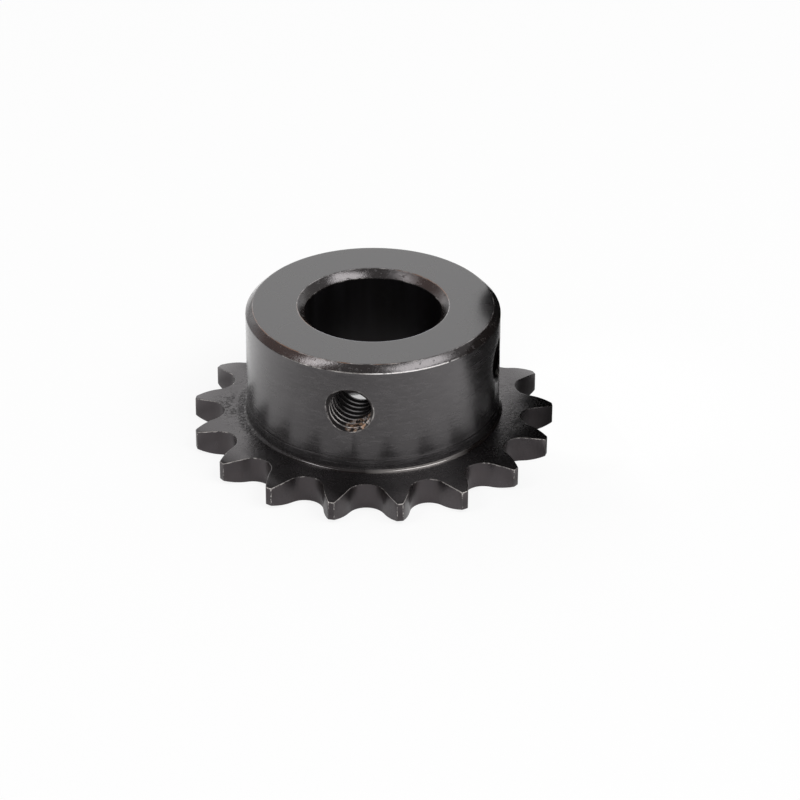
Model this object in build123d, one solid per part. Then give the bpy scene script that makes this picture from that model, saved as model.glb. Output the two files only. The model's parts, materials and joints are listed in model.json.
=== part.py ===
from build123d import *
import os
from math import acos, atan2, cos, degrees, hypot, radians, sin

# A one-piece roller chain sprocket with a hub on one side. It is turned from bar, its tooth
# gaps are hobbed, and its hub is drilled and tapped for two set screws at a right angle.
# The frame's origin lies on the bore's axis, in the lower face of the tooth plate. +Z runs
# along the bore to the nose of the hub. All sizes are in millimetres and degrees.

# Chain that runs on the teeth
chain_pitch = 6.35
roller_diameter = 3.30

# Teeth
tooth_count = 17
seat_clearance = 0.27
seat_angle = 126.5
flank_radius = 8.2
tip_height = 1.37
first_gap_angle = 8.22

# Tooth plate, with an arc of side relief that leads the chain's links on
plate_thickness = 2.8
side_relief_width = 2.6
side_relief_depth = 0.40

# Hub
hub_diameter = 26.0
hub_length = 12.0
nose_chamfer = 0.70
foot_fillet = 0.30
foot_band_height = 1.40
foot_band_step = 0.06

# Bore
bore_diameter = 14.0
nose_bore_chamfer = 0.75
back_bore_chamfer = 0.40

# Tapped holes for M5 set screws, as drilled; the thread is cut into this wall
tap_drill_diameter = 4.2
tapped_hole_height = 6.95
tapped_hole_spread = 90.0

# How far a cutter passes the surface that it leaves
cutter_overrun = 1.0

# Sizes that follow from those above
pitch_radius = chain_pitch / (2 * sin(radians(180 / tooth_count)))
seat_radius = roller_diameter / 2 + seat_clearance
tip_radius = pitch_radius + tip_height
hub_radius = hub_diameter / 2
bore_radius = bore_diameter / 2
nose_level = plate_thickness + hub_length
front_angle = -90.0


def turned_section():
    """Half of the section through the axis: bore, plate, foot of the hub, hub and chamfers."""
    relief_start = tip_radius - side_relief_width
    relief_level = plate_thickness - side_relief_depth
    band_radius = hub_radius + foot_band_step
    band_level = plate_thickness + foot_band_height
    fillet_level = plate_thickness + foot_fillet
    outward = (1, 0)
    inward = (-1, 0)
    with BuildSketch(Plane.XZ) as section:
        with BuildLine():
            Line((bore_radius + back_bore_chamfer, 0), (relief_start, 0))
            TangentArc((relief_start, 0), (tip_radius, side_relief_depth), tangent=outward)
            Line((tip_radius, side_relief_depth), (tip_radius, relief_level))
            TangentArc(
                (relief_start, plate_thickness), (tip_radius, relief_level), tangent=outward
            )
            Line((relief_start, plate_thickness), (band_radius + foot_fillet, plate_thickness))
            TangentArc(
                (band_radius + foot_fillet, plate_thickness),
                (band_radius, fillet_level),
                tangent=inward,
            )
            Polyline(
                (band_radius, fillet_level),
                (band_radius, band_level - foot_band_step),
                (hub_radius, band_level),
                (hub_radius, nose_level - nose_chamfer),
                (hub_radius - nose_chamfer, nose_level),
                (bore_radius + nose_bore_chamfer, nose_level),
                (bore_radius, nose_level - nose_bore_chamfer),
                (bore_radius, back_bore_chamfer),
                (bore_radius + back_bore_chamfer, 0),
            )
        make_face()
    return section.sketch


def turned_blank():
    """The sprocket as it leaves the lathe, before its teeth and tapped holes are cut."""
    return revolve(turned_section(), axis=Axis.Z)


def tooth_gap():
    """One gap between two teeth, centred on +X, as the solid that the hob takes away.

    A roller's seat is an arc about the pitch point. A convex flank on each side of it leads
    from the end of the seat to the tip and on past it, to the mouth of the cutter.
    """
    half_seat = radians(seat_angle / 2)
    reach = seat_radius + flank_radius
    flank_x = pitch_radius - reach * cos(half_seat)
    flank_y = reach * sin(half_seat)
    flank_distance = hypot(flank_x, flank_y)
    mouth_radius = tip_radius + cutter_overrun
    mouth_share = mouth_radius**2 + flank_distance**2 - flank_radius**2
    mouth_turn = acos(mouth_share / (2 * mouth_radius * flank_distance))
    mouth_angle = atan2(flank_y, flank_x) - mouth_turn
    mouth_x = mouth_radius * cos(mouth_angle)
    mouth_y = mouth_radius * sin(mouth_angle)
    flank_end = degrees(atan2(mouth_y - flank_y, mouth_x - flank_x))
    flank_sweep = flank_end + seat_angle / 2
    with BuildSketch() as gap:
        with BuildLine():
            CenterArc((pitch_radius, 0), seat_radius, 180 - seat_angle / 2, seat_angle)
            CenterArc((flank_x, flank_y), flank_radius, -seat_angle / 2, flank_sweep)
            CenterArc((flank_x, -flank_y), flank_radius, seat_angle / 2, -flank_sweep)
            Line((mouth_x, mouth_y), (mouth_x, -mouth_y))
        make_face()
    depth = plate_thickness + 2 * cutter_overrun
    return Pos(0, 0, -cutter_overrun) * extrude(gap.sketch, depth)


def tapped_hole(angle):
    """A tap drill that enters the hub at this angle about the bore and ends on its axis."""
    start = Pos(0, 0, plate_thickness + tapped_hole_height) * Rot(Z=angle) * Rot(Y=90)
    drill = Cylinder(
        tap_drill_diameter / 2,
        hub_radius + cutter_overrun,
        align=(Align.CENTER, Align.CENTER, Align.MIN),
    )
    return start * drill


def make_sprocket():
    """The turned blank less its tooth gaps and its two tapped holes."""
    gaps = PolarLocations(0, tooth_count, front_angle + first_gap_angle) * tooth_gap()
    holes = [tapped_hole(front_angle), tapped_hole(front_angle + tapped_hole_spread)]
    return turned_blank() - gaps - holes


os.makedirs("parts", exist_ok=True)
sprocket = make_sprocket()
export_step(sprocket, "parts/sprocket.step")
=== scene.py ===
import json
from math import acos, atan2, cos, hypot, pi, radians, sin

import bmesh
import bpy
from mathutils import Matrix, Vector


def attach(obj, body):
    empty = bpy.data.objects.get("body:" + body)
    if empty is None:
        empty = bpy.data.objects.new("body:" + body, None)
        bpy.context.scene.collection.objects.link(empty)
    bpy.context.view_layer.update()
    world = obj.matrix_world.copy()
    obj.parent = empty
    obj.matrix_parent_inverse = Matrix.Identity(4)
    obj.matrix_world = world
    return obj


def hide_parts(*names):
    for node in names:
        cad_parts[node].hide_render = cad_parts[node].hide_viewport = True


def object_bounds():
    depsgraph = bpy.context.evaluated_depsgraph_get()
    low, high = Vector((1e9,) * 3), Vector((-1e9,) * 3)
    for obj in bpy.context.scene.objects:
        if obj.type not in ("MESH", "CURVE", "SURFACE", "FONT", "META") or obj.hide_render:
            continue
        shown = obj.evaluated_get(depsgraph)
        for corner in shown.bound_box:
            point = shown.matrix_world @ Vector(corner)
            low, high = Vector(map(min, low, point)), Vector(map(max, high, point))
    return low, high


# A black oxide chain sprocket: a toothed plate and a hub in one piece of steel, with two tapped
# holes. Lengths are in millimetres, and each finished mesh is scaled to metres.

MM = 0.001

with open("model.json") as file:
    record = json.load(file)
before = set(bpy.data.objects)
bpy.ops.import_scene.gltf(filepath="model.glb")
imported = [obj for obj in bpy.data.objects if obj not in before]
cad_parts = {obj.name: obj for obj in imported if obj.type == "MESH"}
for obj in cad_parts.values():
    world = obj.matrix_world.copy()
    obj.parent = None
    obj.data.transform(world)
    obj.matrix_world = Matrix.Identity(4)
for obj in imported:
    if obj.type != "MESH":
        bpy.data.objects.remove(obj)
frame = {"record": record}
cad_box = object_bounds()
mounts = {mount["name"]: mount for mount in frame["record"]["mounts"]}
front_hole = mounts["set_screw_hole_front"]

# Chain and teeth
chain_pitch = 6.35
roller_radius = 1.65
tooth_count = 17
seat_clearance = 0.27
half_seat = radians(126.5 / 2)
flank_radius = 8.2
tip_height = 1.37
first_gap_angle = radians(8.22 - 90)
pitch_radius = chain_pitch / (2 * sin(pi / tooth_count))
seat_radius = roller_radius + seat_clearance
tip_radius = pitch_radius + tip_height

# Tooth plate
plate_thickness = 2.8
relief_width = 2.6
relief_depth = 0.40
relief_ring_radius = 14.2
relief_steps = 11

# Hub and bore
hub_radius = 13.0
nose_level = cad_box[1].z / MM
nose_chamfer = 0.70
foot_fillet = 0.30
fillet_steps = 6
band_height = 1.40
band_step = 0.06
band_level = plate_thickness + band_height
bore_radius = mounts["bore"]["dims"]["r_mm"]
nose_bore_chamfer = 0.75
back_bore_chamfer = 0.40

# Tapped holes
drill_radius = front_hole["dims"]["r_mm"]
thread_radius = 2.5
thread_pitch = 0.8
crest_width = 0.22
root_width = 0.12
hole_level = front_hole["pos_m"][2] / MM
hole_angles = (radians(-90), 0.0)
mouth_depth = 0.14
mouth_widening = 0.30

# Edges
broken_edge = 0.06
worn_tooth_edge = 0.09
sharp_angle = radians(25)
crease_angle = radians(34)
flat_margin = 0.2
same_point = 0.0005
sliver = 0.003

# Finishes, in the order of the piece's material slots
PLATE, FLANK, HUB, NOSE, CHAMFER, FILLET, BORE, EDGE, TURNED_EDGE, DULL, CREST, RIM = range(12)


# ---------------------------------------------------------------- the turned and hobbed body


def as_object(name, bm):
    """A linked object with this mesh, which it frees."""
    mesh = bpy.data.meshes.new(name)
    bm.to_mesh(mesh)
    bm.free()
    piece = bpy.data.objects.new(name, mesh)
    bpy.context.scene.collection.objects.link(piece)
    return piece


def verts_of(parts):
    """The vertices among what an operator made."""
    return [part for part in parts if isinstance(part, bmesh.types.BMVert)]


def faces_of(parts):
    """The faces among what an operator made."""
    return [part for part in parts if isinstance(part, bmesh.types.BMFace)]


def swing(bm, vertex, centre, angle, steps):
    """Carries a vertex round a centre, leaves an arc of edges behind it, and returns its end."""
    done = bmesh.ops.spin(
        bm, geom=[vertex], cent=(*centre, 0), axis=(0, 0, 1), dvec=(0, 0, 0),
        angle=angle, steps=steps, use_merge=False, use_normal_flip=False, use_duplicate=False,
    )
    return verts_of(done["geom_last"])[0]


def gap_outline(bm):
    """A gap with half a tooth on each side, as a line in the plate's plane, centred on +X.

    The roller's seat goes over into a convex flank on either side, and then into the tip.
    """
    reach = seat_radius + flank_radius
    flank_x = pitch_radius - reach * cos(half_seat)
    flank_y = reach * sin(half_seat)
    far = hypot(flank_x, flank_y)
    turn = acos((tip_radius**2 + far**2 - flank_radius**2) / (2 * tip_radius * far))
    tip_angle = atan2(flank_y, flank_x) - turn
    end = atan2(tip_radius * sin(tip_angle) - flank_y, tip_radius * cos(tip_angle) - flank_x)
    lowest = bm.verts.new((pitch_radius - seat_radius, 0, 0))
    for side in (1, -1):
        seat_end = swing(bm, lowest, (pitch_radius, 0), -side * half_seat, steps=9)
        flank_centre = (flank_x, side * flank_y)
        corner = swing(bm, seat_end, flank_centre, side * (end + half_seat), steps=10)
        swing(bm, corner, (0, 0), side * (pi / tooth_count - tip_angle), steps=2)


def tooth_outline(bm):
    """The whole outline of the plate, as a closed ring of edges."""
    gap_outline(bm)
    bmesh.ops.rotate(
        bm, cent=(0, 0, 0), matrix=Matrix.Rotation(first_gap_angle, 3, "Z"), verts=bm.verts[:]
    )
    bmesh.ops.spin(
        bm, geom=bm.verts[:] + bm.edges[:], cent=(0, 0, 0), axis=(0, 0, 1), dvec=(0, 0, 0),
        angle=2 * pi * (tooth_count - 1) / tooth_count, steps=tooth_count - 1,
        use_merge=False, use_normal_flip=False, use_duplicate=True,
    )
    bmesh.ops.remove_doubles(bm, verts=bm.verts[:], dist=same_point)
    return bm.edges[:]


def ring_verts(ring):
    """The vertices of a ring of edges."""
    return {vertex for edge in ring for vertex in edge.verts}


def carry(bm, ring, finish, radius=None, level=0.0):
    """Extrudes a ring of edges to a radius and a level. With no radius it keeps its own."""
    made = bmesh.ops.extrude_edge_only(bm, edges=ring)["geom"]
    moved = set(verts_of(made))
    for vertex in moved:
        stretch = 1 if radius is None else radius / hypot(vertex.co.x, vertex.co.y)
        vertex.co = (vertex.co.x * stretch, vertex.co.y * stretch, level)
    for face in faces_of(made):
        face.material_index = finish
    edges = {edge for vertex in moved for edge in vertex.link_edges}
    return [edge for edge in edges if edge.verts[0] in moved and edge.verts[1] in moved]


def relief(radius):
    """How far the arc of the side relief lies below the plate's face at this radius."""
    arc_radius = (relief_width**2 + relief_depth**2) / (2 * relief_depth)
    past = max(0.0, radius - tip_radius + relief_width)
    return arc_radius - (arc_radius**2 - past**2) ** 0.5


def relieved_side(bm, outline, level, inward):
    """The side of the teeth, from their outline in to a plain ring. Returns that ring."""
    for vertex in ring_verts(outline):
        vertex.co.z = level + inward * relief(hypot(vertex.co.x, vertex.co.y))
    ring = outline
    for steps_left in range(relief_steps, 0, -1):
        ring = carry(bm, ring, PLATE)
        for vertex in ring_verts(ring):
            radius = hypot(vertex.co.x, vertex.co.y)
            drawn_in = radius + (relief_ring_radius - radius) / steps_left
            vertex.co *= drawn_in / radius
            vertex.co.z = level + inward * relief(drawn_in)
    return ring


def hub_section():
    """Radius, level and finish of each ring, from the plate up the hub and down the bore.

    A ring close to each turned edge keeps the shading of the broad face beside it flat.
    """
    band_radius = hub_radius + band_step
    fillet_end = band_radius + foot_fillet
    wall_top = nose_level - nose_chamfer
    bore_top = nose_level - nose_bore_chamfer
    yield fillet_end + flat_margin, plate_thickness, PLATE
    yield fillet_end, plate_thickness, PLATE
    for step in range(1, fillet_steps + 1):
        angle = pi / 2 * step / fillet_steps
        radius = band_radius + foot_fillet * (1 - sin(angle))
        yield radius, plate_thickness + foot_fillet * (1 - cos(angle)), FILLET
    yield band_radius, plate_thickness + foot_fillet + flat_margin, HUB
    yield band_radius, band_level - band_step, HUB
    yield hub_radius, band_level, DULL
    yield hub_radius, band_level + flat_margin, HUB
    yield hub_radius, wall_top - flat_margin, HUB
    yield hub_radius, wall_top, HUB
    yield hub_radius - nose_chamfer, nose_level, CHAMFER
    yield hub_radius - nose_chamfer - flat_margin, nose_level, NOSE
    yield bore_radius + nose_bore_chamfer + flat_margin, nose_level, NOSE
    yield bore_radius + nose_bore_chamfer, nose_level, NOSE
    yield bore_radius, bore_top, CHAMFER
    yield bore_radius, bore_top - flat_margin, BORE
    yield bore_radius, back_bore_chamfer + flat_margin, BORE
    yield bore_radius, back_bore_chamfer, BORE
    yield bore_radius + back_bore_chamfer, 0.0, CHAMFER


def round_edges(bm, on_teeth, offset, finish):
    """Rounds the sharp edges on the teeth, or all the others, but not the foot band's step."""
    band_foot = plate_thickness + foot_fillet
    past_band = band_level + flat_margin / 2
    sharp = [
        edge for edge in bm.edges
        if edge.calc_face_angle() > sharp_angle
        and on_teeth == (hypot(edge.verts[0].co.x, edge.verts[0].co.y) > relief_ring_radius)
        and not band_foot < max(vertex.co.z for vertex in edge.verts) < past_band
    ]
    done = bmesh.ops.bevel(
        bm, geom=sharp, offset=offset, offset_type="OFFSET", affect="EDGES",
        segments=2, profile=0.5, material=-1, clamp_overlap=True,
    )
    for face in done["faces"]:
        face.material_index = finish


def turned_and_hobbed():
    """The closed steel body, without its tapped holes."""
    bm = bmesh.new()
    back = tooth_outline(bm)
    front = carry(bm, back, FLANK, level=plate_thickness)
    ring = relieved_side(bm, front, plate_thickness, -1)
    back_ring = relieved_side(bm, back, 0.0, 1)
    for radius, level, finish in hub_section():
        ring = carry(bm, ring, finish, radius, level)
    back_ring = carry(bm, back_ring, PLATE, bore_radius + back_bore_chamfer + flat_margin, 0.0)
    carry(bm, back_ring, PLATE, bore_radius + back_bore_chamfer, 0.0)
    bmesh.ops.remove_doubles(bm, verts=bm.verts[:], dist=same_point)
    bmesh.ops.recalc_face_normals(bm, faces=bm.faces[:])
    round_edges(bm, False, broken_edge, TURNED_EDGE)
    round_edges(bm, True, worn_tooth_edge, EDGE)
    return bm


# ---------------------------------------------------------------- the tapped holes


def close_end(bm, rim, level):
    """Closes the open end inside this rim of edges with a fan to a point on the axis."""
    made = bmesh.ops.extrude_edge_only(bm, edges=rim)["geom"]
    bmesh.ops.pointmerge(bm, verts=verts_of(made), merge_co=(0, 0, level))


def full_thread():
    """The thread's full form, as a closed rod that winds along +Z from the bore outwards."""
    bm = bmesh.new()
    turns = 10
    steps = 72
    tip = 0.3
    into_bore = 1.5
    start = bore_radius - into_bore
    end = start + (turns + 1) * thread_pitch
    middle = (start + end) / 2
    crest_end = crest_width / 2
    root_start = (thread_pitch - root_width) / 2
    profile = (
        (drill_radius, 0),
        (drill_radius, crest_end),
        (thread_radius, root_start),
        (thread_radius, thread_pitch - root_start),
        (drill_radius, thread_pitch - crest_end),
        (drill_radius, thread_pitch),
    )
    verts = [bm.verts.new((radius, 0, start + rise)) for radius, rise in profile]
    edges = [bm.edges.new(pair) for pair in zip(verts, verts[1:])]
    bmesh.ops.spin(
        bm, geom=verts + edges, cent=(0, 0, 0), axis=(0, 0, 1),
        dvec=(0, 0, thread_pitch / steps), angle=2 * pi * turns, steps=steps * turns,
        use_merge=False, use_normal_flip=False, use_duplicate=False,
    )
    bmesh.ops.remove_doubles(bm, verts=bm.verts[:], dist=same_point)
    rims = [edge for edge in bm.edges if edge.is_boundary]
    close_end(bm, [edge for edge in rims if edge.verts[0].co.z < middle], start - tip)
    close_end(bm, [edge for edge in rims if edge.verts[0].co.z > middle], end + tip)
    past_crest = drill_radius + 0.01
    for face in bm.faces:
        on_crest = all(hypot(vertex.co.x, vertex.co.y) < past_crest for vertex in face.verts)
        face.material_index = CREST if on_crest else DULL
    return bm


def chamfered_mouth():
    """The cutter for the shallow chamfer at a hole's mouth along +Z, closed to a spindle.

    Its cone follows the hub's round side, and reaches past the mouth and into the drilled hole.
    """
    bm = bmesh.new()
    past_mouth = 2.0
    past_drill = 0.2
    outer = drill_radius + (1 + past_mouth) * mouth_widening
    inner = drill_radius - past_drill * mouth_widening
    bmesh.ops.create_circle(bm, cap_ends=False, segments=120, radius=outer)
    bmesh.ops.translate(bm, vec=(0, 0, past_mouth * mouth_depth), verts=bm.verts[:])
    outer_rim = bm.edges[:]
    inner_rim = carry(bm, outer_rim, RIM, inner, -(1 + past_drill) * mouth_depth)
    for vertex in bm.verts:
        vertex.co.z += (hub_radius**2 - vertex.co.y**2) ** 0.5
    close_end(bm, outer_rim, hub_radius + 1)
    close_end(bm, inner_rim, hub_radius - 1)
    return bm


def cut_hole(piece, cutter_mesh, angle):
    """Takes a cutter that lies along +Z out of the piece, in the hub's side at this angle."""
    turn = Matrix.Rotation(angle, 4, "Z") @ Matrix.Rotation(pi / 2, 4, "Y")
    place = Matrix.Translation((0, 0, hole_level)) @ turn
    bmesh.ops.transform(cutter_mesh, matrix=place, verts=cutter_mesh.verts[:])
    bmesh.ops.recalc_face_normals(cutter_mesh, faces=cutter_mesh.faces[:])
    cutter = as_object("cutter", cutter_mesh)
    for material in piece.data.materials:
        cutter.data.materials.append(material)
    boolean = piece.modifiers.new("hole", "BOOLEAN")
    boolean.operation = "DIFFERENCE"
    boolean.solver = "EXACT"
    boolean.material_mode = "TRANSFER"
    boolean.object = cutter
    cut = bpy.data.meshes.new_from_object(
        piece.evaluated_get(bpy.context.evaluated_depsgraph_get())
    )
    piece.modifiers.clear()
    piece.data = cut
    bpy.data.objects.remove(cutter)


def to_metres(bm):
    """Scales a mesh in millimetres to metres."""
    bmesh.ops.scale(bm, vec=(MM, MM, MM), verts=bm.verts[:])


def shade_and_scale(piece):
    """Sharp creases stay sharp, flat faces stay flat, and millimetres become metres.

    First go the slivers and idle vertices that the cuts left, so that the mesh stays closed.
    """
    bm = bmesh.new()
    bm.from_mesh(piece.data)
    bmesh.ops.dissolve_degenerate(bm, dist=sliver, edges=bm.edges[:])
    idle = [vertex for vertex in bm.verts if len(vertex.link_edges) == 2]
    bmesh.ops.dissolve_verts(bm, verts=idle)
    to_metres(bm)
    for face in bm.faces:
        face.smooth = True
    for edge in bm.edges:
        at_rim = {face.material_index for face in edge.link_faces} == {HUB, RIM}
        edge.smooth = edge.is_manifold and edge.calc_face_angle() < crease_angle and not at_rim
    bm.to_mesh(piece.data)
    bm.free()
    normals = piece.modifiers.new("normals", "WEIGHTED_NORMAL")
    normals.mode = "FACE_AREA"
    normals.keep_sharp = True


# ---------------------------------------------------------------- finishes

BLACK = (0.0040, 0.0034, 0.0036, 1)
GREY_BLACK = (0.013, 0.0120, 0.0122, 1)
BROWN_BLACK = (0.0075, 0.0052, 0.0046, 1)
BLUE_BLACK = (0.0075, 0.0070, 0.0077, 1)
LINE_GREY = (0.017, 0.0157, 0.0161, 1)
STREAK_GREY = (0.036, 0.034, 0.034, 1)
# Dusty grey, also used as a painted sheen on the plate and on the hub's foot band
DUST_AND_SHEEN_GREY = (0.036, 0.034, 0.035, 1)
# Painted light, in the mouth of the front hole
PAINTED_LIGHT_GREY = (0.13, 0.12, 0.12, 1)
RED_BROWN = (0.027, 0.012, 0.0085, 1)
RUST = (0.15, 0.078, 0.046, 1)
BRONZE = (0.42, 0.26, 0.17, 1)
# Partly a painted highlight on the bronze flakes
PALE_BRONZE_HIGHLIGHT = (0.85, 0.78, 0.75, 1)
BLUED_STEEL = (0.33, 0.34, 0.42, 1)
RUBBED_STEEL = (0.40, 0.38, 0.38, 1)
BARE_STEEL = (0.55, 0.52, 0.50, 1)
# A painted reflection, on the thread's crests
PAINTED_REFLECTION_WHITE = (0.90, 0.86, 0.84, 1)
# A painted highlight, on a turned edge
PAINTED_HIGHLIGHT_WHITE = (0.92, 0.89, 0.88, 1)

# The middle of the nose chamfers, and of the front hole's mouth
chamfer_level = nose_level - 0.4
front_mouth = (0, -12.77, hole_level)


class Pattern:
    """The nodes of a material or of the world. Lengths in them are in millimetres."""

    def __init__(self, tree):
        self.tree = tree

    def node(self, kind, settings=(), **links):
        """A node with its settings and its sockets, each a number, a colour or an output."""
        made = self.tree.nodes.new(kind)
        for name, value in dict(settings).items():
            setattr(made, name, value)
        for name, value in links.items():
            socket = made.inputs[int(name[1:]) if name[0] == "_" else name.replace("_", " ")]
            self.feed(socket, value)
        return made

    def feed(self, socket, value):
        """Gives a socket a value or a link."""
        if isinstance(value, bpy.types.NodeSocket):
            self.tree.links.new(value, socket)
        else:
            socket.default_value = value

    def place(self, across=1.0, along=1.0):
        """Object coordinates in millimetres, stretched across and along the bore's axis."""
        coordinates = self.node("ShaderNodeTexCoord").outputs["Object"]
        scale = (across / MM, across / MM, along / MM)
        return self.node("ShaderNodeMapping", Vector=coordinates, Scale=scale).outputs[0]

    def measure(self, operation, *vectors):
        """A number worked out from vectors, such as their distance."""
        made = self.node("ShaderNodeVectorMath", {"operation": operation})
        for socket, vector in zip(made.inputs, vectors):
            self.feed(socket, vector)
        return made.outputs["Value"]

    def math(self, operation, first, *others):
        """A number worked out from two or more, from the left."""
        for other in others:
            made = self.node("ShaderNodeMath", {"operation": operation}, _0=first, _1=other)
            first = made.outputs[0]
        return first

    def plus(self, *values):
        """The sum of these values."""
        return self.math("ADD", *values)

    def times(self, *values):
        """The product of these values."""
        return self.math("MULTIPLY", *values)

    def least(self, *values):
        """The least of these values."""
        return self.math("MINIMUM", *values)

    def greatest(self, *values):
        """The greatest of these values."""
        return self.math("MAXIMUM", *values)

    def span(self, value, low, high, start=0.0, end=1.0):
        """The value with low to high spread over start to end, and held outside them."""
        return self.node(
            "ShaderNodeMapRange", Value=value, From_Min=low, From_Max=high,
            To_Min=start, To_Max=end,
        ).outputs["Result"]


class Finish(Pattern):
    """A metal finish. Its gloss keeps this share of green light, and a little more of blue."""

    def __init__(self, name, ior=1.75, green=0.95):
        self.material = bpy.data.materials.new(name)
        self.material.use_nodes = True
        super().__init__(self.material.node_tree)
        self.shader = self.tree.nodes["Principled BSDF"]
        self.shader.inputs["IOR"].default_value = ior
        tint = (1, green, 0.4 + 0.6 * green, 1)
        self.shader.inputs["Specular Tint"].default_value = tint

    def from_axis(self):
        """The distance from the bore's axis."""
        return self.measure("LENGTH", self.place(1.0, 0.0))

    def height(self):
        """The height above the plate's lower face."""
        return self.node("ShaderNodeSeparateXYZ", Vector=self.place()).outputs["Z"]

    def near(self, centre, radius, core=0.0):
        """Is 0 past this radius round a point, and 1 within the core, a share of the radius."""
        distance = self.measure("DISTANCE", self.place(), centre)
        return self.span(distance, radius, core * radius)

    def facing(self, way):
        """How squarely the surface faces this way, from -1 to 1."""
        normal = self.node("ShaderNodeNewGeometry").outputs["Normal"]
        return self.measure("DOT_PRODUCT", normal, way)

    def noise(self, scale=1.0, detail=3.0, roughness=0.55, distortion=0.0, stretch=(1.0, 1.0)):
        """A noise from 0 to 1, with this many cycles in a millimetre before the stretch."""
        return self.node(
            "ShaderNodeTexNoise", Vector=self.place(*stretch), Scale=scale, Detail=detail,
            Roughness=roughness, Distortion=distortion,
        ).outputs["Fac"]

    def blend(self, share, one, other):
        """One colour, going over to the other as the share goes from 0 to 1."""
        mix = self.node("ShaderNodeMix", {"data_type": "RGBA"}, _0=share)
        self.feed(mix.inputs[6], one)
        self.feed(mix.inputs[7], other)
        return mix.outputs[2]

    def done(self, colour, roughness, metallic=0.0, bump=None, depth=0.0):
        """The material, with its colour, roughness, metal and a bump of this depth."""
        self.feed(self.shader.inputs["Base Color"], colour)
        self.feed(self.shader.inputs["Roughness"], roughness)
        self.feed(self.shader.inputs["Metallic"], metallic)
        if bump is not None:
            surface = self.node("ShaderNodeBump", Height=bump, Distance=depth * MM, Strength=1.0)
            self.feed(self.shader.inputs["Normal"], surface.outputs["Normal"])
        return self.material


def plate_finish():
    """The turned sides of the plate: blackened, speckled, and pitted beside the hub."""
    finish = Finish("plate_oxide", ior=1.66, green=0.925)
    speckle = finish.noise(5.0, detail=4.0, roughness=0.65)
    cloud = finish.noise(0.5, detail=2.0)
    dents = finish.noise(3.4, detail=4.0, roughness=0.6, distortion=0.3)
    reach = finish.plus(finish.from_axis(), finish.times(cloud, -4.0))
    near_hub = finish.span(reach, 14.2, 12.4)
    left_patch = finish.near((-14.1, -2.6, plate_thickness), 3.2, core=0.4)
    pitted = finish.plus(finish.times(near_hub, 0.35), left_patch)
    pits = finish.times(finish.span(dents, 0.50, 0.60), pitted)
    foot = finish.span(finish.from_axis(), 14.3, 13.8)
    left_side = finish.near((-13.4, -3.6, plate_thickness), 5.5, core=0.6)
    lumps = finish.times(finish.span(dents, 0.40, 0.60), foot, left_side)
    # Painted sheen: a lighter grey on the plate at the front right, beside the hub
    painted_sheen = finish.times(finish.near((7.5, -12.8, plate_thickness), 7.0, core=0.4), 0.6)
    colour = finish.blend(finish.span(speckle, 0.40, 0.65), BLACK, GREY_BLACK)
    colour = finish.blend(painted_sheen, colour, DUST_AND_SHEEN_GREY)
    colour = finish.blend(pits, colour, BLACK)
    roughness = finish.plus(finish.span(cloud, 0.3, 0.7, 0.22, 0.30), finish.times(pits, 0.25))
    bump = finish.plus(finish.times(speckle, 0.5), finish.times(pits, -3.0))
    bump = finish.plus(bump, finish.times(lumps, 16.0))
    return finish.done(colour, roughness, bump=bump, depth=0.006)


def flank_finish():
    """The hobbed flanks and seats of the teeth."""
    finish = Finish("flank_oxide", ior=1.72, green=0.90)
    streaks = finish.noise(stretch=(2.5, 0.3))
    cloud = finish.noise(0.6)
    colour = finish.blend(finish.span(cloud, 0.35, 0.65), BLACK, BROWN_BLACK)
    roughness = finish.span(cloud, 0.3, 0.7, 0.26, 0.36)
    return finish.done(colour, roughness, bump=streaks, depth=0.012)


def hub_finish():
    """The hub's turned side. Fine lines run round it, and stretch its reflections upwards."""
    finish = Finish("hub_oxide", ior=1.72)
    finish.shader.inputs["Anisotropic"].default_value = 0.68
    finish.shader.inputs["Anisotropic Rotation"].default_value = 0.25
    lines = finish.noise(detail=4.0, roughness=0.65, stretch=(0.07, 4.0))
    streaks = finish.noise(detail=4.0, roughness=0.6, distortion=0.4, stretch=(0.22, 2.2))
    grain = finish.noise(detail=4.0, roughness=0.7, distortion=0.8, stretch=(0.9, 3.4))
    cloud = finish.noise(0.30)
    light = finish.times(finish.span(streaks, 0.42, 0.66), finish.span(cloud, 0.40, 0.62))
    colour = finish.blend(finish.span(lines, 0.36, 0.64), BLACK, LINE_GREY)
    colour = finish.blend(finish.times(light, 0.6), colour, STREAK_GREY)
    colour = finish.blend(finish.span(grain, 0.46, 0.64, 0.0, 0.75), colour, DUST_AND_SHEEN_GREY)
    scores = finish.span(finish.noise(detail=2.0, stretch=(0.12, 1.9)), 0.60, 0.70)
    colour = finish.blend(finish.times(scores, 0.4), colour, BLACK)
    foot = finish.span(finish.height(), 4.6, 4.1)
    bands = finish.span(finish.noise(stretch=(0.4, 3.0)), 0.35, 0.6)
    # Painted sheen: lighter grey bands on the hub's foot band at the front right
    painted_sheen = finish.times(finish.near((7.9, -10.2, 3.5), 7.5, core=0.6), foot, bands)
    colour = finish.blend(painted_sheen, colour, DUST_AND_SHEEN_GREY)
    spots = finish.span(finish.noise(0.8, detail=4.0, roughness=0.7), 0.47, 0.64, 0.05, 1.0)
    burr = finish.times(finish.near(front_mouth, 2.56, core=0.955), spots)
    colour = finish.blend(burr, colour, BARE_STEEL)
    roughness = finish.span(cloud, 0.3, 0.7, 0.19, 0.25)
    roughness = finish.plus(roughness, finish.span(lines, 0.3, 0.7, 0.0, 0.05))
    bump = finish.plus(lines, finish.times(lines, foot, 2.0))
    return finish.done(colour, roughness, finish.times(burr, 0.6), bump=bump, depth=0.012)


def nose_finish():
    """The hub's turned nose face."""
    finish = Finish("nose_oxide", green=0.98)
    grain = finish.noise(5.0, detail=4.0, roughness=0.7)
    cloud = finish.noise(0.25)
    colour = finish.blend(finish.span(cloud, 0.3, 0.7), BLACK, GREY_BLACK)
    roughness = finish.span(cloud, 0.3, 0.7, 0.24, 0.29)
    return finish.done(colour, roughness, bump=grain, depth=0.0005)


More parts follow.
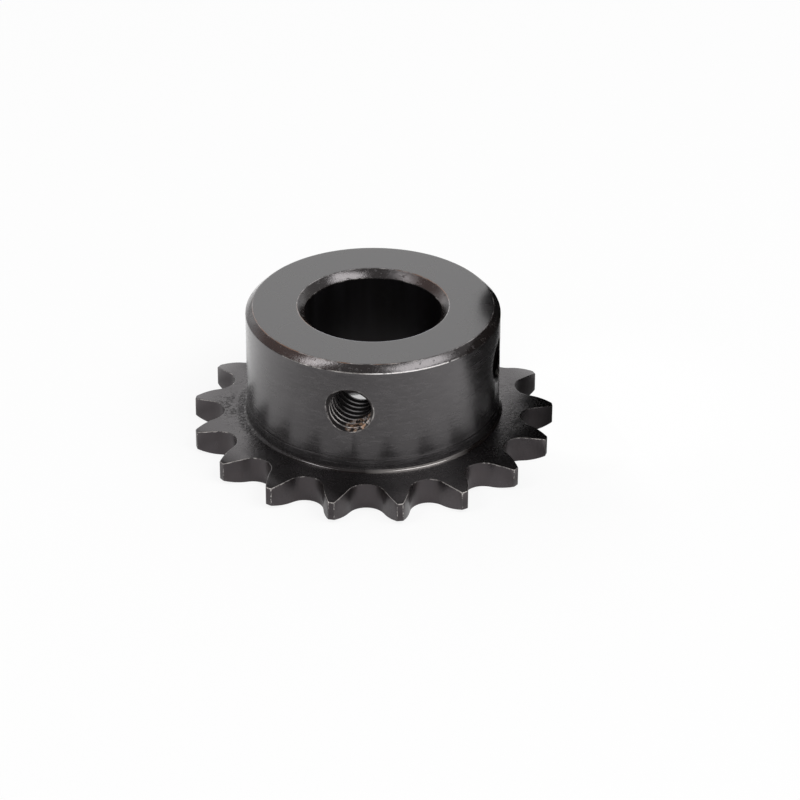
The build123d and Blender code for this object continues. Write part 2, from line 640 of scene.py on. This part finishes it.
def chamfer_finish():
    """The turned chamfers: brown-black and glossy, with dull patches, pits and rubbed flecks."""
    finish = Finish("chamfer_oxide", ior=1.85)
    patches = finish.noise(0.6, roughness=0.6)
    grain = finish.noise(4.5, detail=4.0, roughness=0.7)
    strokes = finish.noise(roughness=0.6, stretch=(5.0, 1.2))
    bare = finish.times(finish.span(grain, 0.56, 0.68), finish.span(patches, 0.52, 0.62))
    back_right = finish.near((5.0, 5.5, chamfer_level), 4.5, core=0.5)
    front_left = finish.near((-7.2, -10.3, chamfer_level), 7.0, core=0.5)
    colour = finish.blend(finish.plus(back_right, front_left), BROWN_BLACK, RED_BROWN)
    colour = finish.blend(finish.times(bare, 0.2), colour, BARE_STEEL)
    dull = finish.near((1.9, 7.2, chamfer_level), 2.4, core=0.5)
    pits = finish.span(finish.noise(2.2, roughness=0.6), 0.60, 0.66)
    roughness = finish.plus(finish.span(patches, 0.3, 0.7, 0.13, 0.20), finish.times(dull, 0.15))
    roughness = finish.plus(roughness, finish.times(finish.span(grain, 0.40, 0.60), 0.05))
    roughness = finish.plus(roughness, finish.times(pits, 0.25))
    return finish.done(colour, roughness, bump=finish.plus(grain, strokes), depth=0.006)


def fillet_finish():
    """The small fillet at the hub's foot: smooth and rubbed, but rough and dull on one side."""
    finish = Finish("fillet_oxide")
    rough_side = finish.near((-12.0, -5.4, 2.9), 9.5, core=0.5)
    lumps = finish.noise(2.6, detail=4.0, roughness=0.6)
    dull = finish.times(rough_side, finish.span(lumps, 0.36, 0.50))
    rubbed = finish.times(finish.near((7.0, -11.2, 2.9), 5.8, core=0.6), 0.45)
    colour = finish.blend(rubbed, finish.blend(dull, BROWN_BLACK, BLACK), BARE_STEEL)
    roughness = finish.span(dull, 0.0, 1.0, 0.15, 0.55)
    return finish.done(colour, roughness, rubbed, finish.times(lumps, rough_side), depth=0.06)


def bore_finish():
    """The inside of the bore."""
    finish = Finish("bore_oxide", ior=1.35)
    lines = finish.noise(stretch=(0.05, 4.0))
    streaks = finish.span(finish.noise(stretch=(0.5, 0.05)), 0.45, 0.65)
    colour = finish.blend(streaks, BLACK, BLUE_BLACK)
    return finish.done(colour, 0.3, bump=lines, depth=0.003)


def edge_finish():
    """The teeth's edges, rubbed bright in flecks, with a painted highlight towards the tips where
    they face the front.
    """
    finish = Finish("tooth_edge_wear_and_highlight", ior=1.8)
    near_tip = finish.span(finish.from_axis(), 14.9, 17.2)
    front = finish.span(finish.facing((0.17, -0.98, 0.78)), 0.86, 0.96)
    upper = finish.span(finish.facing((0.0, 0.0, 1.0)), 0.0, 0.7, 0.07, 0.23)
    # Painted highlight: edges near the tips that face the front and up get more bare steel
    facing_front_highlight = finish.times(near_tip, front, upper)
    fleck = finish.noise(2.2, detail=5.0, roughness=0.75)
    rub = finish.span(finish.plus(fleck, facing_front_highlight), 0.57, 0.68)
    rub = finish.times(rub, finish.span(finish.height(), 0.2, 0.9, 0.2, 1.0))
    colour = finish.blend(rub, BROWN_BLACK, BARE_STEEL)
    return finish.done(colour, 0.28, finish.times(rub, 0.8))


def turned_edge_finish():
    """The turned edges, brown at the nose face and rubbed bare in flecks, with a painted
    highlight below its outer chamfer.
    """
    finish = Finish("turned_edge_wear_and_highlight", ior=1.8)
    face = finish.span(finish.height(), 14.4, 14.5)
    below = finish.span(finish.height(), 14.35, 14.25)
    in_bore = finish.span(finish.from_axis(), 9.0, 8.0)
    left = finish.near((-10.3, -7.9, 14.2), 7.0, core=0.5)
    right = finish.near((12.2, -4.45, 14.1), 6.3, core=0.7)
    sheltered = finish.plus(face, in_bore, finish.plus(left, right))
    fleck = finish.noise(0.7, detail=5.0, roughness=0.7)
    rub = finish.span(finish.plus(fleck, finish.times(sheltered, -0.15)), 0.40, 0.58)
    bare = finish.times(face, finish.span(fleck, 0.45, 0.60, 0.1, 0.6))
    brown = finish.blend(bare, BROWN_BLACK, RUBBED_STEEL)
    rust = finish.span(finish.noise(0.5, roughness=0.6), 0.40, 0.55)
    front_left = finish.near((-5.2, -11.1, nose_level), 13.0, core=0.6)
    back_right = finish.near((5.0, 6.0, nose_level), 5.0, core=0.6)
    rust = finish.times(rust, face, finish.plus(front_left, back_right))
    brown = finish.blend(rust, brown, RUST)
    colour = finish.blend(rub, brown, BARE_STEEL)
    bore_front = finish.times(finish.near((0.9, -5.0, nose_level), 6.2, core=0.9), in_bore)
    colour = finish.blend(finish.times(bore_front, 0.7), colour, BLUED_STEEL)
    # Painted highlight: a white, non-metallic line below the nose's outer chamfer, at the front
    # right
    highlight_spot = finish.near((6.3, -11.3, 14.1), 5.2, core=0.7)
    white = finish.times(highlight_spot, below, finish.span(fleck, 0.36, 0.46))
    colour = finish.blend(white, colour, PAINTED_HIGHLIGHT_WHITE)
    metallic = finish.times(rub, finish.span(white, 0.0, 1.0, 0.6, 0.0))
    return finish.done(colour, 0.26, metallic)


def bronze_flakes(finish):
    """Bronze flakes low in the front hole: where they are, and their colour, which is partly a
    painted highlight.
    """
    where = finish.near((0.9, -12.1, 8.1), 1.7, core=0.6)
    grain = finish.noise(2.4, detail=4.0, roughness=0.7, distortion=0.5)
    tint = finish.noise(1.7, detail=2.0)
    # The flakes go pale in spots: a painted highlight on their bronze
    flake_tone_and_highlight = finish.blend(finish.span(tint, 0.44, 0.60), BRONZE, PALE_BRONZE_HIGHLIGHT)
    return finish.times(where, finish.span(grain, 0.46, 0.56)), flake_tone_and_highlight


def dull_finish():
    """Dull black, on the flanks and roots of the thread and on the foot band's step."""
    finish = Finish("dull_oxide", ior=1.35)
    patches = finish.noise(1.5, detail=4.0, roughness=0.6)
    flakes, flake_tone_and_highlight = bronze_flakes(finish)
    colour = finish.blend(finish.span(patches, 0.4, 0.65), BLACK, BROWN_BLACK)
    colour = finish.blend(flakes, colour, flake_tone_and_highlight)
    return finish.done(colour, 0.35, finish.times(flakes, 0.7))


def crest_finish():
    """The crests of the thread, polished by the tap and rubbed in spots, with a painted
    reflection on one side of the front hole.
    """
    finish = Finish("thread_crest", ior=1.7)
    rub = finish.span(finish.noise(1.5, detail=4.0, roughness=0.6), 0.45, 0.62)
    side = finish.near((-1.8, -11.6, 9.0), 1.9, core=0.6)
    flakes, flake_tone_and_highlight = bronze_flakes(finish)
    colour = finish.blend(finish.times(rub, 0.2), BLACK, BARE_STEEL)
    # Painted reflection: the crests on one side of the front hole go nearly white
    colour = finish.blend(side, colour, PAINTED_REFLECTION_WHITE)
    colour = finish.blend(flakes, colour, flake_tone_and_highlight)
    metallic = finish.plus(finish.times(side, 0.2), finish.times(flakes, 0.3))
    return finish.done(colour, finish.span(side, 0.0, 1.0, 0.28, 0.5), metallic)


def rim_finish():
    """The mouth of a tapped hole: dull inside, with a thin burr that is bright in spots, and
    painted light on one side.
    """
    finish = Finish("rim_wear_and_painted_light", ior=1.4)
    burr = finish.span(finish.near(front_mouth, 2.44, core=0.92), 0.5, 0.0)
    spots = finish.span(finish.noise(0.9, detail=4.0, roughness=0.7), 0.48, 0.62)
    bright = finish.times(burr, spots)
    scores = finish.span(finish.noise(5.0, roughness=0.6, distortion=1.5), 0.42, 0.56)
    # Painted light: grey strokes lighten one side of the front hole's mouth
    painted_light_strokes = finish.times(finish.near((-2.0, -12.5, 9.3), 2.0, core=0.6), scores)
    flakes, flake_tone_and_highlight = bronze_flakes(finish)
    colour = finish.blend(painted_light_strokes, BROWN_BLACK, PAINTED_LIGHT_GREY)
    colour = finish.blend(bright, colour, BARE_STEEL)
    colour = finish.blend(flakes, colour, flake_tone_and_highlight)
    metallic = finish.plus(finish.times(bright, 0.6), finish.times(flakes, 0.3))
    return finish.done(colour, 0.32, metallic)


def finishes():
    """One material for each finish, in the order of the slots."""
    return [
        plate_finish(), flank_finish(), hub_finish(), nose_finish(), chamfer_finish(),
        fillet_finish(), bore_finish(), edge_finish(), turned_edge_finish(), dull_finish(),
        crest_finish(), rim_finish(),
    ]


# ---------------------------------------------------------------- the sprocket

sprocket = as_object("toothed_hub", turned_and_hobbed())
for material in finishes():
    sprocket.data.materials.append(material)
for hole_angle in hole_angles:
    cut_hole(sprocket, chamfered_mouth(), hole_angle)
    cut_hole(sprocket, full_thread(), hole_angle)
shade_and_scale(sprocket)
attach(sprocket, "root")
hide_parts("sprocket")


# ---------------------------------------------------------------- floor, light and camera

# Angles here are in degrees
camera_azimuth = 10
camera_elevation = 30.48135
camera_roll = 0.24064
camera_distance = 337.05
lens = 146.6
sensor_width = 36
light_distance = 500
table_reach = 2000
full_table = 3.1
own_light_in_gloss = 0.2
soft_light = 0.48
dim_room = 0.27


def aligned(right, away, up):
    """A vector given to the camera's right, away from it and up, as the studio is laid out."""
    return Matrix.Rotation(radians(camera_azimuth), 3, "Z") @ Vector((right, away, up))


def direction(azimuth, elevation):
    """A unit vector. Azimuth 0 points to the camera's side, and grows to its right."""
    a, e = radians(azimuth), radians(elevation)
    return aligned(sin(a) * cos(e), -cos(a) * cos(e), sin(e))


def make_camera():
    """A long lens that looks down on the sprocket."""
    data = bpy.data.cameras.new("camera")
    data.lens = lens
    data.sensor_width = sensor_width
    data.clip_start = 10 * MM
    camera = bpy.data.objects.new("camera", data)
    back = direction(0, camera_elevation)
    right = aligned(1, 0, 0)
    level = Matrix((right, back.cross(right), back)).transposed()
    turn = level @ Matrix.Rotation(radians(camera_roll), 3, "Z")
    aim = aligned(2.78, 0, 3.5)
    stand = (aim + back * camera_distance) * MM
    camera.matrix_world = Matrix.Translation(stand) @ turn.to_4x4()
    bpy.context.scene.collection.objects.link(camera)
    bpy.context.scene.camera = camera


def matt(name, grey, roughness):
    """A plain material in this grey, with no gloss."""
    material = bpy.data.materials.new(name)
    material.use_nodes = True
    shader = material.node_tree.nodes["Principled BSDF"]
    shader.inputs["Base Color"].default_value = (grey, grey, grey, 1)
    shader.inputs["Roughness"].default_value = roughness
    shader.inputs["Specular IOR Level"].default_value = 0.0
    return material


def table_in_gloss(table, where, from_axis, from_card):
    """How bright the table shows in gloss: full far out, and dimmer close to the sprocket."""
    from_front_left = table.measure("DISTANCE", where, aligned(-14, -32, 0))
    from_back_right = table.measure("DISTANCE", where, aligned(19.5, 14.5, 0))
    in_gaps = table.span(from_axis, 18, 20, 2.0, 0.0)
    beyond_teeth = table.span(from_axis, 20, 24, 0.0, full_table)
    # Painted shade and light in the table's gloss: dim by the teeth, the card, the back right and
    # in a spot at the front left; brighter in the gaps and far out
    return table.least(
        table.span(from_front_left, 4, 43, 0.0, full_table),
        table.span(from_card, 6.5, 13.5, 0.0, full_table),
        table.span(from_back_right, 6.5, 10, 0.0, full_table),
        table.greatest(beyond_teeth, in_gaps),
    )


def table_own_light(table, from_axis, from_card):
    """The share of the table's white that is its own light. The rest of it takes shadows."""
    # Painted light: the table glows more inside the bore and under the card, where shade would
    # fall
    in_bore = table.span(from_axis, 7, 7.5, 0.42, 0.0)
    outside_bore = table.span(from_axis, 8, 16, 0.0, 0.87)
    under_card = table.span(from_card, 10, 20, 0.12, 0.0)
    return table.plus(in_bore, outside_bore, under_card)


def make_floor():
    """A white table that keeps a faint shadow. Gloss shows it brighter or dimmer in places."""
    bm = bmesh.new()
    bmesh.ops.create_grid(bm, x_segments=1, y_segments=1, size=table_reach)
    to_metres(bm)
    floor = as_object("floor", bm)
    material = matt("white_table", grey=0.94, roughness=0.8)
    table = Pattern(material.node_tree)
    where = table.place()
    from_axis = table.measure("DISTANCE", where, (0, 0, 0))
    from_card = table.measure("DISTANCE", where, aligned(24.6, 4.8, 0))
    rays = table.node("ShaderNodeLightPath").outputs
    glossy = rays["Is Glossy Ray"]
    in_gloss = table_in_gloss(table, where, from_axis, from_card)
    glow = table.node("ShaderNodeEmission", Strength=table.span(glossy, 0, 1, 1.0, in_gloss))
    seen = table.greatest(rays["Is Camera Ray"], rays["Is Transmission Ray"])
    share = table.times(seen, table_own_light(table, from_axis, from_card))
    share = table.greatest(share, table.times(glossy, own_light_in_gloss))
    lit = material.node_tree.nodes["Principled BSDF"].outputs[0]
    mix = table.node("ShaderNodeMixShader", _0=share, _1=lit, _2=glow.outputs[0])
    surface = material.node_tree.nodes["Material Output"].inputs["Surface"]
    table.feed(surface, mix.outputs[0])
    floor.data.materials.append(material)


def cut_away(bm, faces, point, way):
    """Takes off what lies beyond a plane, out of these faces."""
    edges = {edge for face in faces for edge in face.edges}
    verts = {vertex for face in faces for vertex in face.verts}
    bmesh.ops.bisect_plane(
        bm, geom=[*verts, *edges, *faces], clear_outer=True, plane_co=point, plane_no=way
    )


def make_dark_card():
    """A round dark card that leans over the teeth at the right, hidden from the camera.

    It darkens the gloss on that side, and shades it a little. Its top is cut off level, and
    above the hub it ends not far behind the axis.
    """
    card_radius = 13
    top = 18.4
    above_hub = 15.5
    upper_end = 6.2
    up = (0, 0, 1)
    bm = bmesh.new()
    bmesh.ops.create_circle(bm, cap_ends=True, segments=64, radius=card_radius)
    lean = aligned(-0.785, -0.314, -0.534).to_track_quat("Z", "Y").to_matrix().to_4x4()
    place = Matrix.Translation(aligned(18.97, -1.0, 10.09)) @ lean
    bmesh.ops.transform(bm, matrix=place, verts=bm.verts[:])
    cut_away(bm, bm.faces[:], (0, 0, top), up)
    whole = bm.verts[:] + bm.edges[:] + bm.faces[:]
    bmesh.ops.bisect_plane(bm, geom=whole, plane_co=(0, 0, above_hub), plane_no=up)
    upper = [face for face in bm.faces if face.calc_center_median().z > above_hub]
    upper = faces_of(bmesh.ops.split(bm, geom=upper)["geom"])
    cut_away(bm, upper, aligned(0, upper_end, 0), aligned(0, 1, 0))
    to_metres(bm)
    card = as_object("dark_card", bm)
    card.data.materials.append(matt("dark_card", grey=0.10, roughness=0.9))
    card.visible_camera = False
    card.visible_transmission = False


def towards(studio, way, centre, edge, core, bright):
    """The room's gloss: bright within the core of degrees round a way, and dim past the edge."""
    facing = studio.measure("DOT_PRODUCT", way, centre)
    return studio.span(facing, cos(radians(edge)), cos(radians(core)), dim_room, bright)


def make_world():
    """Soft light all round. Gloss shows a white backdrop behind and a dimmer room elsewhere."""
    world = bpy.data.worlds.new("studio")
    world.use_nodes = True
    studio = Pattern(world.node_tree)
    way = studio.node("ShaderNodeTexCoord").outputs["Generated"]
    room = studio.greatest(
        towards(studio, way, direction(180, 22), edge=32, core=22, bright=1.0),
        towards(studio, way, direction(-130, 6), edge=24, core=6, bright=0.75),
        towards(studio, way, direction(112, 30), edge=26, core=8, bright=0.38),
    )
    rays = studio.node("ShaderNodeLightPath").outputs
    glossy = rays["Is Glossy Ray"]
    seen = studio.greatest(rays["Is Camera Ray"], glossy, rays["Is Transmission Ray"])
    shown = studio.span(glossy, 0, 1, 1.0, room)
    background = world.node_tree.nodes["Background"]
    studio.feed(background.inputs["Color"], (1, 1, 1, 1))
    studio.feed(background.inputs["Strength"], studio.span(seen, 0, 1, soft_light, shown))
    bpy.context.scene.world = world


def softbox(name, azimuth, elevation, width, height, radiance):
    """A soft light of this size, which faces the sprocket from this side."""
    light = bpy.data.lights.new(name, "AREA")
    light.shape = "RECTANGLE"
    light.size = width * MM
    light.size_y = height * MM
    light.energy = radiance * pi * light.size * light.size_y
    lamp = bpy.data.objects.new(name, light)
    side = direction(azimuth, elevation)
    turn = side.to_track_quat("Z", "Y").to_matrix().to_4x4()
    lamp.matrix_world = Matrix.Translation(side * light_distance * MM) @ turn
    lamp.visible_camera = False
    bpy.context.scene.collection.objects.link(lamp)


def make_lights():
    """Two softboxes above the front corners, and a broad one behind."""
    softbox("left_softbox", -65, 51, width=110, height=220, radiance=5.7)
    softbox("right_softbox", 54, 53, width=355, height=200, radiance=4.7)
    softbox("back_softbox", 180, 27, width=1000, height=340, radiance=0.45)


make_lights()
make_camera()
make_floor()
make_dark_card()
make_world()
bpy.context.scene.view_settings.view_transform = "Standard"
